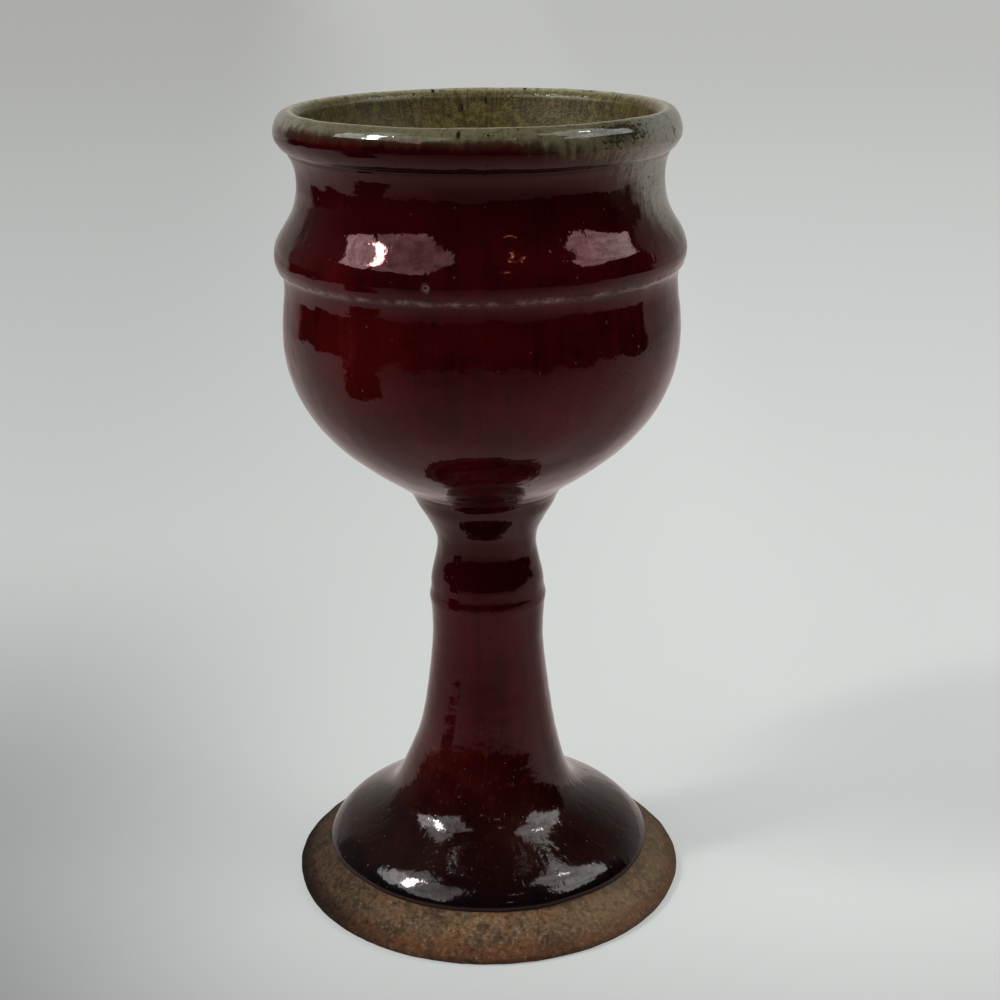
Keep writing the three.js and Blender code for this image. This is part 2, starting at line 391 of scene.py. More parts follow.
glaze = {
    "deepRed": (0.0104, 0.0006, 0.0008),
    "midRed": (0.0264, 0.0010, 0.0012),
    "brightRed": (0.057, 0.0040, 0.0046),
    "brownRed": (0.022, 0.005, 0.003),
    "orangeFleck": (0.10, 0.028, 0.008),
    "plumRed": (0.0080, 0.0004, 0.0012),
    "inkBlue": (0.0024, 0.0013, 0.0016),
    "paleEdge": (0.22, 0.15, 0.125),
    "celadon": (0.093, 0.069, 0.020),
    "celadonDeep": (0.037, 0.027, 0.007),
    "rimOlive": (0.060, 0.050, 0.025),
    "ashGrey": (0.172, 0.166, 0.138),
    "crestTan": (0.31, 0.275, 0.19),
    "ironBrown": (0.022, 0.013, 0.007),
    "ironBlack": (0.007, 0.0045, 0.0025),
    "bubble": (0.14, 0.10, 0.09),
    "redTint": (1.0, 0.43, 0.43),
    "domeTint": (1.0, 0.86, 0.84),
    "greenTint": (1.0, 0.97, 0.90),
    "roughness": 0.06,
    "insideRoughness": 0.45,
    "insideSpecular": 0.2,
    "ior": 1.37,
    "haze": 0.05,
    "hazeRoughness": 0.14,
    "hazeIor": 1.42,
    # How far each pattern is drawn out down the wall, its size in millimetres, its detail and its roughness
    "patterns": {
        "longStreaks": (14, 1.3, 3.0, 0.62),
        "broadStreaks": (7, 5.5, 3.0, 0.55),
        "patches": (0, 17, 3.0, 0.55),
        "mottle": (0, 1.5, 4.0, 0.6),
        "fine": (0, 0.55, 2.0, 0.6),
        "coarsePeel": (0, 2.6, 1.0),
        "smallPeel": (0, 1.1, 1.0),
        "runs": (9, 2.4, 1.0),
        "dabs": (0, 1.3, 2.0, 0.55),
    },
    # The mix that a colour follows: how much each pattern or field counts in it
    "depthMix": {"longStreaks": 0.22, "broadStreaks": 0.35, "mottle": 0.18, "patches": 0.8, "drumX": 0.4},
    "fleckMix": {"mottle": 1.0, "longStreaks": 0.35},
    "paleMix": {"mottle": 0.7, "fine": 0.6},
    "celadonMix": {"mottle": 0.6, "fine": 0.25, "longStreaks": 0.3},
    "speckleMix": {"mottle": 0.45, "fine": 0.6, "longStreaks": 0.25},
    "streakMix": {"longStreaks": 1.0, "mottle": 0.35, "rust": 0.21},
    "ironMix": {"mottle": 0.8, "fine": 0.9, "ironPatch": 0.48},
    "fringeMix": {"longStreaks": 2.4, "mottle": 1.8},
    "fringeMiddle": 2.1,
    "fringeCalm": 0.45,
    # Where a colour starts in its mix, where it is full, and how much it covers
    "midRedFrom": (0.60, 0.86),
    "brightRedFrom": (0.84, 1.12),
    "brownFrom": (0.4, 0.65),
    "fleckFrom": (0.74, 0.92, 0.38),
    "paleFrom": (0.52, 0.84, 0.50),
    "celadonFrom": (0.48, 0.68),
    "speckleFrom": (0.66, 0.50, 0.65),
    "streakFrom": (0.86, 1.02, 0.75),
    "ironFrom": (1.10, 1.26, 0.85),
    "browningFrom": (-2.3, -0.3, 0.9),
    "baredFrom": (-0.8, 1.0, 0.95),
    # How much a layer covers; where its pattern makes that uneven: the least, the pattern's weight, the most
    "domeShare": 0.7,
    "plumShare": (0.65, 0.5, 0.9),
    "inkShare": (0.55, 0.9, 1.0),
    "thinShare": 0.11,
    "oliveShare": 0.8,
    "crestShare": 0.7,
    "ironShare": 0.97,
    "pitShare": 0.6,
    "bubbleShare": 0.8,
    "dryShare": 0.35,
    # Cell size and radius of spots in millimetres, and the share of the cells that hold one
    "ironSpots": (2.3, 0.4, 0.5),
    "drawnIron": 2.2,
    "drawnIronSpots": (3.1, 0.6, 0.6),
    "widePits": (3.1, 0.3, 0.3),
    "smallPits": (1.9, 0.2, 0.25),
    "bubbles": (1.7, 0.17, 0.35),
    # Heights over which something comes in from above to below, in millimetres; the lip's and the satin's are
    # distances from the crest of the lip, inside it
    "domeSpan": (46, 20),
    "bubbleSpan": (45, 22),
    "hazeSpan": (30, 20),
    "drySpan": (9.0, 8.3),
    "lipSpan": (-0.3, -1.2),
    "satinSpan": (-2.2, -2.7),
    # The burst bubble: its place in metres and its radius in millimetres
    "burst": (-0.0104, -0.0393, 0.1367),
    "burstRadius": 0.42,
    # Outer and inner reach of the hole and of the ring round it, in burst radii, and how ragged each is in mm
    "burstHole": (1.5, 1.1, 0.5),
    "burstRing": (4.6, 2.4, 1.6),
    "ringShare": 0.3,
    # Relief in millimetres, the iron's as a share of the pits', and how much of the runs the dome takes away
    "peel": 0.016,
    "finePeel": 0.008,
    "domePeel": 0.03,
    "grain": 0.002,
    "lipGrain": 0.07,
    "pitDepth": 0.09,
    "ironDepth": 0.2,
    "domeCalm": 0.85,
    "burstRise": 0.12,
    # What makes the glaze rougher
    "mottleRoughness": 0.04,
    "pitRoughness": 0.2,
    "domeRoughness": 0.03,
    "dryRoughness": 0.5,
}


# A share that comes in over a span of heights in millimetres.
def comesIn(tree, height, span, reach=1.0):
    return stepUp(tree, height, span[0] * mm, span[1] * mm, reach)


# The patterns of the glaze, the share that lies on the dome of the foot, and its iron, pits and burst bubble.
def glazePaint(tree):
    paint = patternsOf(tree, glaze["patterns"])
    paint.dome = comesIn(tree, paint.height, glaze["domeSpan"])
    drawnIron = spots(tree, drumSpace(tree, glaze["drawnIron"]), *glaze["drawnIronSpots"])
    paint.iron = maths(tree, "MAXIMUM", spots(tree, paint.space, *glaze["ironSpots"]), drawnIron)
    widePits = spots(tree, paint.space, *glaze["widePits"])
    paint.pits = maths(tree, "MAXIMUM", widePits, spots(tree, paint.space, *glaze["smallPits"]))
    apart = node(tree, "VectorMath", {0: paint.space, 1: glaze["burst"]}, operation="DISTANCE")
    for name, share in (("burstHole", 1.0), ("burstRing", glaze["ringShare"])):
        outer, inner, ragged = glaze[name]
        reach = plus(tree, apart.outputs["Value"], times(tree, paint.mottle, ragged * mm))
        span = (outer * glaze["burstRadius"], inner * glaze["burstRadius"])
        setattr(paint, name, comesIn(tree, reach, span, share))
    paint.dryEdge = comesIn(tree, paint.height, glaze["drySpan"])
    return paint


# Red: faint streaks and soft patches of three reds, the brightest on the side that faces -X, and brown flecks
# on the dome of the foot. Bands under the rim, on the collar, below the bowl and on the stem darken to plum,
# pooled glaze is nearly black, and thin glaze over an edge breaks pale.
def redOf(tree, paint):
    depth = mixOf(tree, paint, glaze["depthMix"])
    red = blendColour(tree, stepUp(tree, depth, *glaze["midRedFrom"]), glaze["deepRed"], glaze["midRed"])
    red = blendColour(tree, stepUp(tree, depth, *glaze["brightRedFrom"]), red, glaze["brightRed"])
    brownish = stepUp(tree, paint.patches, *glaze["brownFrom"])
    brown = blendColour(tree, brownish, glaze["deepRed"], glaze["brownRed"])
    flecks = mixOf(tree, paint, glaze["fleckMix"])
    brown = blendColour(tree, stepUp(tree, flecks, *glaze["fleckFrom"]), brown, glaze["orangeFleck"])
    red = blendColour(tree, times(tree, paint.dome, glaze["domeShare"]), red, brown)
    plum = unevenly(tree, field(tree, "deep"), paint.patches, *glaze["plumShare"])
    red = blendColour(tree, plum, red, glaze["plumRed"])
    pooled = unevenly(tree, field(tree, "pooled"), paint.broadStreaks, *glaze["inkShare"])
    red = blendColour(tree, pooled, red, glaze["inkBlue"])
    uneven = stepUp(tree, mixOf(tree, paint, glaze["paleMix"]), *glaze["paleFrom"])
    broken = times(tree, field(tree, "thin"), plus(tree, glaze["thinShare"], uneven))
    return blendColour(tree, broken, red, glaze["paleEdge"])


# Celadon: mottled grey-green, olive under the crest, ashen on the sides, tan on the crest itself, streaked
# with brown and sprinkled with iron.
def celadonOf(tree, paint):
    greenness = stepUp(tree, mixOf(tree, paint, glaze["celadonMix"]), *glaze["celadonFrom"])
    green = blendColour(tree, greenness, glaze["celadonDeep"], glaze["celadon"])
    olive = times(tree, field(tree, "olive"), glaze["oliveShare"])
    green = blendColour(tree, olive, green, glaze["rimOlive"])
    green = blendColour(tree, field(tree, "ash"), green, glaze["ashGrey"])
    tan = times(tree, field(tree, "crest"), glaze["crestShare"])
    green = blendColour(tree, tan, green, glaze["crestTan"])
    speckled = stepUp(tree, mixOf(tree, paint, glaze["speckleMix"]), *glaze["speckleFrom"])
    green = blendColour(tree, speckled, green, glaze["celadonDeep"])
    streaked = stepUp(tree, mixOf(tree, paint, glaze["streakMix"]), *glaze["streakFrom"])
    green = blendColour(tree, streaked, green, glaze["ironBrown"])
    spotted = stepUp(tree, mixOf(tree, paint, glaze["ironMix"]), *glaze["ironFrom"])
    green = blendColour(tree, spotted, green, glaze["ironBlack"])
    return blendColour(tree, times(tree, paint.iron, glaze["ironShare"]), green, glaze["ironBlack"])


# The red gives way to celadon along an uneven, fringed line, which is calmer in the ash. Pits, the burst
# bubble and the small bubbles of the dome lie over both, and the lowest edge is dry and brown.
def glazeColour(tree, paint):
    fringe = plus(tree, mixOf(tree, paint, glaze["fringeMix"]), -glaze["fringeMiddle"])
    calm = plus(tree, 1.0, times(tree, field(tree, "ash"), -glaze["fringeCalm"]))
    fringe = times(tree, fringe, calm)
    bared = plus(tree, field(tree, "bared"), fringe)
    ashless = maths(tree, "SUBTRACT", 1.0, field(tree, "ash"))
    browning = times(tree, stepUp(tree, bared, *glaze["browningFrom"]), ashless)
    browned = blendColour(tree, browning, redOf(tree, paint), glaze["ironBrown"])
    colour = blendColour(tree, stepUp(tree, bared, *glaze["baredFrom"]), browned, celadonOf(tree, paint))
    colour = blendColour(tree, times(tree, paint.pits, glaze["pitShare"]), colour, glaze["deepRed"])
    colour = blendColour(tree, paint.burstRing, colour, glaze["paleEdge"])
    colour = blendColour(tree, paint.burstHole, colour, glaze["ironBlack"])
    low = comesIn(tree, paint.height, glaze["bubbleSpan"], glaze["bubbleShare"])
    bubbles = times(tree, spots(tree, paint.space, *glaze["bubbles"]), low)
    colour = blendColour(tree, bubbles, colour, glaze["bubble"])
    return blendColour(tree, times(tree, paint.dryEdge, glaze["dryShare"]), colour, glaze["brownRed"])


# Orange peel, faint runs, fine grain, sunken pits, dabs on the dome, a grainy lip and the burst bubble's rim.
def glazeRelief(tree, paint):
    peel = times(tree, paint.coarsePeel, glaze["peel"] * 2)
    finePeel = times(tree, paint.smallPeel, glaze["finePeel"] * 2)
    runs = times(tree, paint.runs, glaze["peel"])
    runs = times(tree, runs, plus(tree, 1.0, times(tree, paint.dome, -glaze["domeCalm"])))
    grain = times(tree, paint.fine, glaze["grain"])
    sunk = plus(tree, paint.pits, times(tree, paint.iron, glaze["ironDepth"]))
    sunk = times(tree, sunk, -glaze["pitDepth"])
    dabbed = times(tree, paint.dabs, times(tree, paint.dome, glaze["domePeel"]))
    within = comesIn(tree, field(tree, "flow"), glaze["lipSpan"], glaze["lipGrain"] * 2)
    lipGrain = times(tree, paint.fine, within)
    crater = times(tree, maths(tree, "SUBTRACT", paint.burstRing, paint.burstHole), glaze["burstRise"])
    return plus(tree, peel, finePeel, runs, grain, sunk, dabbed, lipGrain, crater)


# The glaze of the whole goblet: copper red outside, breaking to grey-green at the rim and on one side, and
# celadon inside. Both coats wear it, so that its colours run on where they meet on the roll of the rim.
def glazeMaterial(name, tint, specular=0.5):
    material, tree, shader = newMaterial(name)
    paint = glazePaint(tree)
    tree.links.new(glazeColour(tree, paint), shader.inputs["Base Color"])
    rougher = glaze["insideRoughness"] - glaze["roughness"]
    within = comesIn(tree, field(tree, "flow"), glaze["satinSpan"], rougher)
    within = plus(tree, within, times(tree, paint.dryEdge, glaze["dryRoughness"]))
    swing = glaze["mottleRoughness"]
    mottled = plus(tree, glaze["roughness"] - swing / 2, times(tree, paint.mottle, swing))
    pitted = times(tree, paint.pits, glaze["pitRoughness"])
    rough = plus(tree, mottled, pitted, within, times(tree, paint.dome, glaze["domeRoughness"]))
    tree.links.new(rough, shader.inputs["Roughness"])
    shader.inputs["IOR"].default_value = glaze["ior"]
    shader.inputs["Specular IOR Level"].default_value = specular
    hazy = comesIn(tree, paint.height, glaze["hazeSpan"], glaze["haze"])
    tree.links.new(hazy, shader.inputs["Coat Weight"])
    shader.inputs["Coat Roughness"].default_value = glaze["hazeRoughness"]
    shader.inputs["Coat IOR"].default_value = glaze["hazeIor"]
    tree.links.new(blendColour(tree, paint.dome, tint, glaze["domeTint"]), shader.inputs["Specular Tint"])
    raiseSurface(tree, shader, glazeRelief(tree, paint))
    return material


clay = {
    "brown": (0.109, 0.061, 0.031),
    "darkBrown": (0.045, 0.024, 0.013),
    "rust": (0.110, 0.036, 0.013),
    "sand": (0.25, 0.18, 0.12),
    "scorch": (0.018, 0.011, 0.007),
    "roughness": 0.85,
    "mottleRoughness": 0.2,
    "specular": 0.15,
    "grainShare": 0.8,
    # How strongly painted shade darkens the side that faces -X and the outer edge, and painted light lightens
    # +X
    "leftPaintedShade": 0.60,
    "edgePaintedShade": 0.34,
    "rightPaintedLight": 0.18,
    "grog": 0.16,
    "sandGrain": 0.06,
    "grainRise": 0.06,
    # As in the glaze: size, detail and roughness after a first 0, which says that nothing is drawn out
    "patterns": {"patches": (0, 9, 4.0, 0.6), "mottle": (0, 2.6, 5.0, 0.75), "fine": (0, 0.9, 3.0, 0.65)},
    "grains": (2.4, 0.3, 0.25),
    "brownMix": {"mottle": 0.55, "patches": 0.45},
    "rustMix": {"rim": 0.35, "mottle": 1.1, "patches": 1.2},
    "blotchMix": {"patches": 1.0, "mottle": 0.7},
    "brownFrom": (0.40, 0.57),
    "rustFrom": (1.15, 1.5, 0.8),
    "sandFrom": (0.54, 0.70, 0.38),
    "scorchFrom": (0.47, 0.33, 0.75),
    "blotchFrom": (0.97, 1.10, 0.7),
    # Millimetres across X over which the painted light comes in on the +X side and the painted shade on the
    # -X side
    "paintedLightSpan": (8, 30),
    "paintedShadeSpan": (-10, -40),
}


# Bare stoneware: mottled brown, rusty towards the outer edge of the foot, with sandy grains and scorched
# blotches, with painted light on the side that faces +X and painted shade on the other side and the outer
# edge.
def clayMaterial(name):
    material, tree, shader = newMaterial(name)
    paint = patternsOf(tree, clay["patterns"])
    clouded = stepUp(tree, mixOf(tree, paint, clay["brownMix"]), *clay["brownFrom"])
    colour = blendColour(tree, clouded, clay["darkBrown"], clay["brown"])
    rusty = stepUp(tree, mixOf(tree, paint, clay["rustMix"]), *clay["rustFrom"])
    colour = blendColour(tree, rusty, colour, clay["rust"])
    colour = blendColour(tree, stepUp(tree, paint.fine, *clay["sandFrom"]), colour, clay["sand"])
    colour = blendColour(tree, stepUp(tree, paint.fine, *clay["scorchFrom"]), colour, clay["scorch"])
    blotch = stepUp(tree, mixOf(tree, paint, clay["blotchMix"]), *clay["blotchFrom"])
    colour = blendColour(tree, blotch, colour, clay["scorch"])
    grains = spots(tree, paint.space, *clay["grains"])
    colour = blendColour(tree, times(tree, grains, clay["grainShare"]), colour, clay["sand"])
    # Painted light and shade: the +X side is lightened towards sand, the -X side and the outer edge darkened
    # to black
    side = node(tree, "SeparateXYZ", {0: paint.space}).outputs[0]
    colour = blendColour(tree, comesIn(tree, side, clay["paintedLightSpan"], clay["rightPaintedLight"]), colour, clay["sand"])
    sidePaintedShade = comesIn(tree, side, clay["paintedShadeSpan"], clay["leftPaintedShade"])
    paintedShade = plus(tree, sidePaintedShade, times(tree, field(tree, "rim"), clay["edgePaintedShade"]))
    tree.links.new(blendColour(tree, paintedShade, colour, (0, 0, 0)), shader.inputs["Base Color"])
    rough = plus(tree, clay["roughness"], times(tree, paint.mottle, clay["mottleRoughness"]))
    tree.links.new(rough, shader.inputs["Roughness"])
    shader.inputs["Specular IOR Level"].default_value = clay["specular"]
    coarse = mixOf(tree, paint, {"mottle": clay["grog"] * 2, "fine": clay["sandGrain"] * 2})
    raiseSurface(tree, shader, plus(tree, coarse, times(tree, grains, clay["grainRise"])))
    return material


redMaterial = glazeMaterial("copperRedGlaze", glaze["redTint"])
greenMaterial = glazeMaterial("greyGreenGlaze", glaze["greenTint"])
satinMaterial = glazeMaterial("greyGreenSatin", glaze["greenTint"], glaze["insideSpecular"])
footMaterial = clayMaterial("bareStoneware")
print("materials made")

outside = np.concatenate([curveThrough(goblet["pedestal"]), curveThrough(goblet["bowl"])[1:]])
lip = curveThrough(goblet["lip"])
inside = curveThrough(goblet["inside"])

# Each cloud in the wall: its height and cell size in millimetres, and the share of it that is left on the
# foot. The holds draw the wall in at the ridge and at the crest: how far, and over which height.
unevenness = {
    "clouds": [(0.10, 32, 1.0), (0.055, 13, 0.9), (0.045, 6.5, 0.55), (0.042, 3.4, 0.3)],
    "footSpan": (46, 30),
    "ridgeHold": (0.14, 3.5),
    "crestHold": (0.16, 1.1),
}


# What no hand-thrown wall is free of: clouds of four sizes, the same for both coats, so that they meet.
def wander(turn, line):
    height = line[:, 1:] / mm
    points = ringPoints(line[:, :1], line[:, 1:], turn)
    total = 0
    for hold, place in (("ridgeHold", goblet["ridge"]), ("crestHold", goblet["lip"][-1][1])):
        depth, width = unevenness[hold]
        total = total - depth * bell(height, place, width)
    for seed, (rise, cell, left) in enumerate(unevenness["clouds"]):
        calm = 1 - (1 - left) * ease(height, *unevenness["footSpan"])
        total = total + rise * calm * cloudInSpace(points, cell, 40 + seed)
    return total


# Where the red gives way to grey-green: degrees from the front, how far below the crest it does there, and
# how gradually, both in millimetres. The sides and the patch are in degrees from the front too.
bared = {
    "places": [
        (-180, 4.2, 1.4),
        (-90, 4.8, 1.9),
        (-55, 3.5, 1.0),
        (-15, 3.4, 0.8),
        (10, 3.6, 0.9),
        (25, 5.4, 2.2),
        (38, 7.8, 3.8),
        (48, 13.0, 5.0),
        (58, 19.0, 5.5),
        (70, 24.0, 7.0),
        (95, 27.0, 8.0),
        (125, 14.0, 5.5),
        (150, 6.5, 3.0),
        (180, 4.2, 1.4),
    ],
    "waver": [(17, 10, 0.35), (6, 10, 0.35)],
    "sideWaver": 2,
    "rightSide": ((34, 64), (112, 150)),
    "leftSide": ((35, 70), (110, 150)),
    "patch": (42, 12),
    # Bands along the flow: place and width in millimetres. The crest has one width inside and one outside
    "crestBand": (-0.15, 1.0, 0.5),
    "rustBand": (-4.6, 3.6),
    "patchBand": (3.2, 3.0),
    # Spans of the flow in millimetres over which olive and ash come in
    "oliveSpan": (0.2, 1.1),
    "ashSpan": (-1.5, 3),
    "ashFrom": -1,
    "ashInside": (-3, 0),
    # How much ash lies all round, on the side that faces +X and on the other, and how much olive goes there
    "ashShares": (0.15, 0.75, 0.35),
    "oliveLoss": 0.6,
    "bareInside": 3.0,
}


# The bared band at each turn: its reach, its width, how far the turn lies on the side that faces +X and on
# the side that faces -X, and the place of an iron patch.
def baredReach(turn):
    fromFront = (360 * turn - 270 + 180) % 360 - 180
    degrees, reaches, widths = np.array(bared["places"]).T
    (rightIn, rightOut), (leftIn, leftOut) = bared["rightSide"], bared["leftSide"]
    side = ease(fromFront, *rightIn) * (1 - ease(fromFront, *rightOut))
    left = ease(-fromFront, *leftIn) * (1 - ease(-fromFront, *leftOut))
    uneven = sum(risen(turn, 0 * turn, shape, 71 + seed) for seed, shape in enumerate(bared["waver"]))
    reach = np.interp(fromFront, degrees, reaches) + uneven * (1 + bared["sideWaver"] * side)
    return reach, np.interp(fromFront, degrees, widths), side, left, bell(fromFront, *bared["patch"])


# Fields that the glaze reads on either coat. Flow is the distance from the crest of the lip, positive
# outside. The drum's places are on a circle of drumRadius.
def glazeFields(turn, flow):
    reach, width, side, left, patch = baredReach(turn)
    flowMm = flow / mm
    ashAround, ashRight, ashLeft = bared["ashShares"]
    ashen = (ashRight * side + ashLeft * left) * ease(flowMm, *bared["ashSpan"])
    ashen = np.where(flowMm > bared["ashFrom"], ashen, 0)
    crest, widthInside, widthOutside = bared["crestBand"]
    return {
        "drumX": drumRadius * mm * np.cos(2 * math.pi * turn),
        "drumY": drumRadius * mm * np.sin(2 * math.pi * turn),
        "flow": flow,
        "bared": np.where(flowMm > 0, (reach - flowMm) / width, bared["bareInside"]),
        "crest": bell(flowMm, crest, np.where(flowMm < crest, widthInside, widthOutside)),
        "olive": ease(flowMm, *bared["oliveSpan"]) * (1 - side) * (1 - bared["oliveLoss"] * left),
        "rust": bell(flowMm, *bared["rustBand"]),
        "ash": np.clip(ashAround + ashen, 0, 1) * ease(flowMm, *bared["ashInside"]),
        "ironPatch": patch * bell(flowMm, *bared["patchBand"]),
        "deep": 0,
        "pooled": 0,
        "thin": 0,
    }


redCoat = {
    "rows": 190,
    "hiddenRows": 28,
    "around": 448,
    "thickness": 1.08,
    "crowded": [(8.2, 1.6, 2.0), (62.0, 2.0, 1.2), (88.4, 1.5, 4.0), (133.8, 1.1, 4.5), (155.9, 0.9, 4.5)],
    "turningPitch": 4.2,
    "turningHeight": 0.022,
    "turningSpans": ((160, 154), (14, 30)),
    "turningCloud": (4, 22, 0.4),
    # A band has its height, its width and how far it stands out. What twists, waves or wanders has its lobes
    # round the wall, the size of its cells along it, and its rise
    "crease": (133.8, 0.46, 0.15),
    "creaseTwist": (210, 4, 0.10),
    "creaseTwistWidth": 0.5,
    "creaseDashes": (150, 1.8, 0.8),
    "creaseSlant": (60, 4, 0.25),
    "dashMiddle": 0.62,
    "dashLeast": 0.15,
    "dashWidth": 0.45,
    "underCrease": (132.5, 1.0, -0.06),
    "rimGroove": (155.9, 0.28, -0.2),
    "overGroove": (156.7, 0.35, 0.08),
    "jointFillet": [(88.0, 1.0, 0.2), (84.4, 1.2, 0.12)],
    "jointRings": [(88.8, 0.22, -0.07), (89.6, 0.22, 0.07), (90.5, 0.24, -0.06)],
    "stemRing": [(69.0, 1.5, 0.06), (65.6, 0.8, -0.22), (63.6, 0.8, 0.12)],
    "stemTwist": (34, 2.2, 0.045),
    "stemTwistBell": (70, 7),
    "bandWave": (9, 400, 0.12),
    "footRipple": (70, 30, 0.012),
    "footRippleSpan": (60, 20),
    "deepBands": [
        (158.0, 2.6, 0.85),
        (153.0, 3.0, 0.4),
        (147.0, 8.0, 0.55),
        (81.0, 8.0, 1.0),
        (69.0, 6.0, 0.75),
        (52.0, 9.0, 0.3),
    ],
    "inked": [(0.68, 28, 15), (0.32, 14, 8.5)],
    "inkedGroove": (155.75, 0.35, 0.8),
    "beadWander": [(11, 10, 0.28), (31, 10, 0.14)],
    "beadReach": 2.6,
    "domePits": (110, 0.3, 0.7),
    "wallPits": (12, 0.3, 0.5),
    "domeReach": 30,
    # Stretches of the wall without pits, in millimetres: at the bead, at the lip and above the dome
    "pitFree": (1.5, 10, 5),
    "pitSteepness": 0.12,
    # A pit's raised ring: its share of the depth, and its place and width in pit radii
    "pitRing": (0.3, 1.5, 0.5),
}


# Shallow pits: each a bell-shaped hollow with a low raised ring round it, at a turn and a distance down the
# wall.
def pitRelief(turn, flow, radius, pits):
    relief = np.zeros_like(flow + turn)
    ringShare, ringPlace, ringWidth = redCoat["pitRing"]
    for pitTurn, pitFlow, size, depth in pits:
        across = (turn - pitTurn + 0.5) % 1 - 0.5
        away = np.hypot(across * 2 * math.pi * radius, flow - pitFlow) / (size * mm)
        relief += depth * (ringShare * bell(away, ringPlace, ringWidth) - bell(away, 0, 1))
    return relief


def scatterPits(kind, lowFlow, highFlow, seed):
    count, smallest, largest = redCoat[kind]
    draw = np.random.default_rng(seed)
    turns = draw.uniform(0, 1, count)
    flows = draw.uniform(lowFlow, highFlow, count)
    size = draw.uniform(smallest, largest, count)
    return list(zip(turns, flows, size, redCoat["pitSteepness"] * size))


# How far the red coat stands out of its smooth outline: turning rings, bands at the crease, the grooves and
# the joint, a twisting crease and stem ring, a fine ripple on the foot, and pits.
def redRelief(turn, flow, line, wavy):
    height = line[:, 1:] / mm
    relief = wander(turn, line)
    turning = np.sin(2 * math.pi * (flow / mm / redCoat["turningPitch"] + turn))
    calmAbove, calmBelow = redCoat["turningSpans"]
    calm = ease(height, *calmAbove) * ease(height, *calmBelow)
    swell = 1 - redCoat["turningCloud"][-1] + risen(turn, flow, redCoat["turningCloud"], 51)
    relief = relief + redCoat["turningHeight"] * turning * calm * swell
    bands = [redCoat["crease"], redCoat["underCrease"], redCoat["rimGroove"], redCoat["overGroove"]]
    bands += redCoat["jointFillet"] + redCoat["jointRings"] + redCoat["stemRing"]
    for place, width, rise in bands:
        relief = relief + rise * bell(height, place + wavy, width)
    twist = risen(turn, flow, redCoat["creaseTwist"], 56)
    relief = relief + twist * bell(height, redCoat["crease"][0] + wavy, redCoat["creaseTwistWidth"])
    relief = relief + risen(turn, flow, redCoat["stemTwist"], 59) * bell(height, *redCoat["stemTwistBell"])
    relief = relief + risen(turn, flow, redCoat["footRipple"], 53) * ease(height, *redCoat["footRippleSpan"])
    domeEnd = flow[0, 0]
    domeStart = domeEnd - redCoat["domeReach"] * mm
    freeBelow, freeAbove, freeBetween = redCoat["pitFree"]
    pits = scatterPits("domePits", domeStart, domeEnd - freeBelow * mm, 61)
    pits += scatterPits("wallPits", freeAbove * mm, domeStart - freeBetween * mm, 62)
    return relief + pitRelief(turn, flow, line[:, :1], pits)


# The red coat: one closed skin, up the outside in many rows and back down behind it, a thickness further in.
def makeRedCoat():
    line = spread(outside, redCoat["rows"], redCoat["crowded"])
    turn = turnsOf(redCoat["around"])
    crestGap = lengthAlong(lip)[-1]
    flow = (crestGap + lengthAlong(line)[-1] - lengthAlong(line))[:, None]
    wavy = risen(turn, flow, redCoat["bandWave"], 52)
    outerRadius, outerHeight = rings(line, rightOf(line), redRelief(turn, flow, line, wavy) * mm)
    back = spread(outside, redCoat["hiddenRows"], redCoat["crowded"])[::-1]
    innerRadius, innerHeight = rings(back, -rightOf(back), -redCoat["thickness"] * mm + 0 * turn)

    # The bead at its lower edge wanders down and up the slope of the foot
    slope = -headingVector(goblet["footEdge"][-1][2])
    wanders = [risen(turn, 0 * turn, shape, 54 + seed) for seed, shape in enumerate(redCoat["beadWander"])]
    slide = sum(wanders) * mm
    for ringRadius, ringHeight, ends in ((outerRadius, outerHeight, line), (innerRadius, innerHeight, back)):
        away = np.hypot(ends[:, :1] - outside[0, 0], ends[:, 1:] - outside[0, 1])
        near = bell(away, 0, redCoat["beadReach"] * mm)
        ringRadius += slope[0] * slide * near
        ringHeight += slope[1] * slide * near

    fields = glazeFields(turn, flow)
    height = line[:, 1:] / mm
    dashes = redCoat["dashMiddle"] + risen(turn, flow, redCoat["creaseDashes"], 57)
    crease = redCoat["crease"][0] + wavy + risen(turn, flow, redCoat["creaseSlant"], 58)
    fields["thin"] = np.clip(dashes, redCoat["dashLeast"], 1) * bell(height, crease, redCoat["dashWidth"])
    ink = sum(share * ease(height, start, full) for share, start, full in redCoat["inked"])
    groove, grooveWidth, grooveInk = redCoat["inkedGroove"]
    fields["pooled"] = np.clip(ink + grooveInk * bell(height, groove, grooveWidth), 0, 1)
    fields["deep"] = sum(share * bell(height, place, width) for place, width, share in redCoat["deepBands"])
    backFields = glazeFields(turn, crestGap + lengthAlong(back)[:, None])
    radius = np.concatenate([outerRadius, innerRadius])
    height = np.concatenate([outerHeight, innerHeight])
    fields = stackFields(fields, outerRadius, backFields, innerRadius)
    return revolve("copper_red_glaze", radius, height, True, fields, redMaterial)


lining = {
    "lipRows": 16,
    "rows": 150,
    "hiddenRows": 40,
    "around": 448,
    "thickness": 0.88,
    "crowded": [(161.5, 3.0, 2.0)],
    "turningPitch": 5.5,
    "turningHeight": 0.07,
    "turningFrom": (6, 16),
    "calmMiddle": (2, 12),
    "flatMiddle": (0, 4),
}


# The lining's faces past the end of satinSpan, seen by the flow at their first corner, take the satin finish.
def finishSatin(mesh):
    mesh.materials.append(satinMaterial)
    flows = np.zeros(len(mesh.vertices), np.float32)
    mesh.attributes["flow"].data.foreach_get("value", flows)
    corners = np.zeros(len(mesh.loops), np.int32)
    mesh.loops.foreach_get("vertex_index", corners)
    firsts = np.zeros(len(mesh.polygons), np.int32)
    mesh.polygons.foreach_get("loop_start", firsts)
    satin = flows[corners[firsts]] < glaze["satinSpan"][1] * mm
    mesh.polygons.foreach_set("material_index", satin.astype(np.int32))


